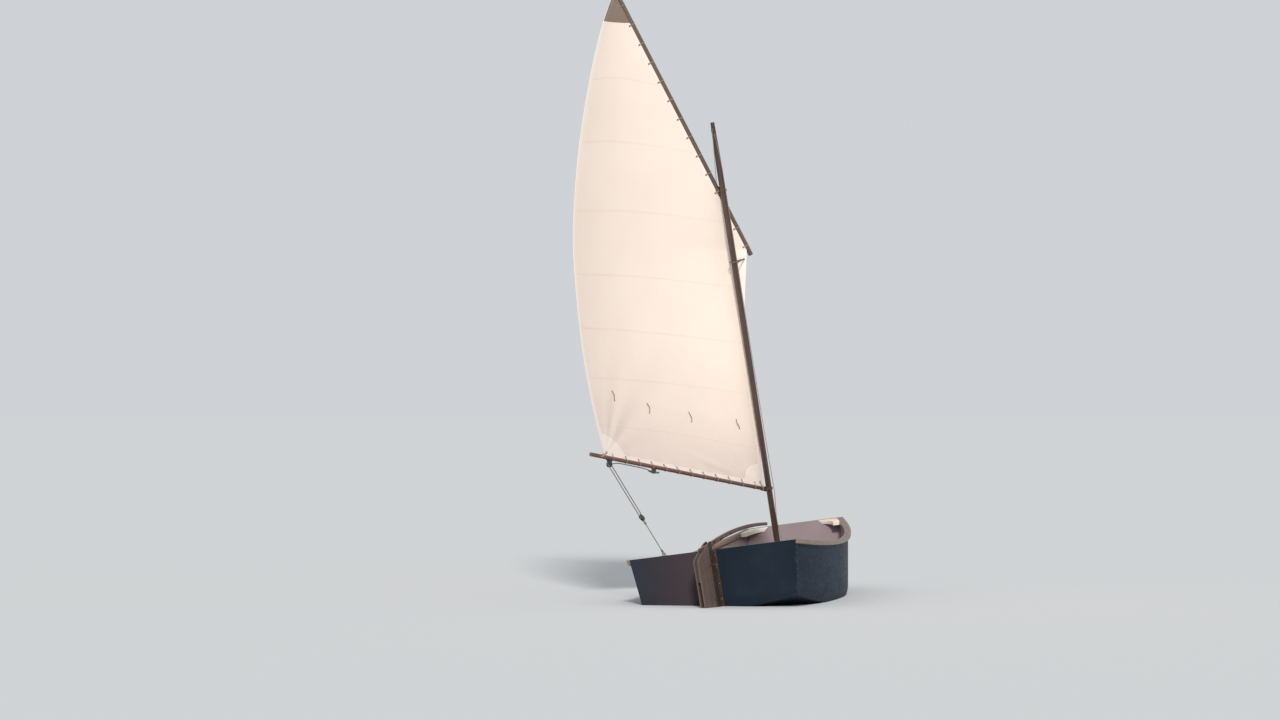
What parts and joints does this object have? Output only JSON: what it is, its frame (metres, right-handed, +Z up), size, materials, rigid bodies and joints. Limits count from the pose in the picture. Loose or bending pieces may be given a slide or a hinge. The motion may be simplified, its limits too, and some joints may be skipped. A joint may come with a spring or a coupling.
{
  "type": "sailing dinghy",
  "caption": "Small hard-chine plywood pram dinghy with an unstayed mast, lug sail set to port, rudder, tiller and daggerboard, dark slate hull and wooden spars.",
  "frame": {"origin": "hull centreline amidships on the design waterline", "axes": "+X towards the bow, +Y to port, +Z up"},
  "size_m": [3.1779, 1.5894, 5.2532],
  "materials": {
    "hull_paint": "satin dark slate paint",
    "inside_paint": "satin off-white paint",
    "trim_wood": "varnished hardwood",
    "dark_wood": "dark varnished hardwood",
    "spar_wood": "dark brown varnish",
    "yard_wood": "brown varnish",
    "boom_wood": "reddish-brown varnish",
    "rudder_wood": "varnished plywood",
    "seat_wood": "satin varnish",
    "sailcloth": "woven, matt",
    "bronze": "weathered",
    "steel": "brushed",
    "leather_brown": "matt",
    "block_black": "satin"
  },
  "bodies": {
    "hull": {"side_panel_port": "hull_paint", "side_panel_starboard": "hull_paint", "bottom_panel_port": "hull_paint", "bottom_panel_starboard": "hull_paint", "stern_transom": "hull_paint", "bow_transom": "hull_paint", "gunwale_port": "trim_wood", "gunwale_starboard": "trim_wood", "corner_knees": "trim_wood", "keelson": "inside_paint", "skeg": "hull_paint", "outer_keel": "hull_paint", "frames": "inside_paint", "stern_seat": "seat_wood", "mid_seat": "seat_wood", "seat_risers": "inside_paint", "mast": "spar_wood", "mast_step": "inside_paint", "mast_thwart": "seat_wood", "daggerboard_trunk": "inside_paint", "oarlock_blocks": "trim_wood", "oarlock_sockets": "bronze", "stern_post": "dark_wood", "rudder_gudgeons": "bronze", "mast_cleat": "dark_wood", "masthead_block": "block_black", "sheet_eye": "steel", "painter_eye": "bronze"},
    "rig": {"boom": "boom_wood", "yard": "yard_wood", "boom_collar": "leather_brown", "yard_collar": "leather_brown", "sail": "sailcloth", "boom_block": "block_black", "boom_cleat": "dark_wood"},
    "rudder": {"rudder_cheeks": "rudder_wood", "rudder_spacer": "rudder_wood", "blade_pivot": "bronze", "rudder_pintles": "bronze", "tiller": "boom_wood"},
    "rudder_blade": {"rudder_blade": "rudder_wood"},
    "daggerboard": {"daggerboard": "rudder_wood", "daggerboard_handles": "trim_wood"}
  },
  "joints": [
    {"name": "boom_swing", "type": "hinge", "parent": "hull", "child": "rig", "pos_m": [0.6368, 0, 1.41357], "axis": [-0.1132, 0, 0.9936], "range_deg": [-60, 112]},
    {"name": "rudder_steer", "type": "hinge", "parent": "hull", "child": "rudder", "pos_m": [-1.43537, 0, -0.00585], "axis": [-0.1392, 0, 0.9903], "range_deg": [-25, 55]},
    {"name": "blade_kick", "type": "hinge", "parent": "rudder", "child": "rudder_blade", "pos_m": [-1.52277, 0.02252, 0.01217], "axis": [0.2563, 0.9659, 0.036], "range_deg": [0, 100]},
    {"name": "board_lift", "type": "slide", "parent": "hull", "child": "daggerboard", "axis": [0, 0, 1], "range_m": [0, 0.5]}
  ]
}
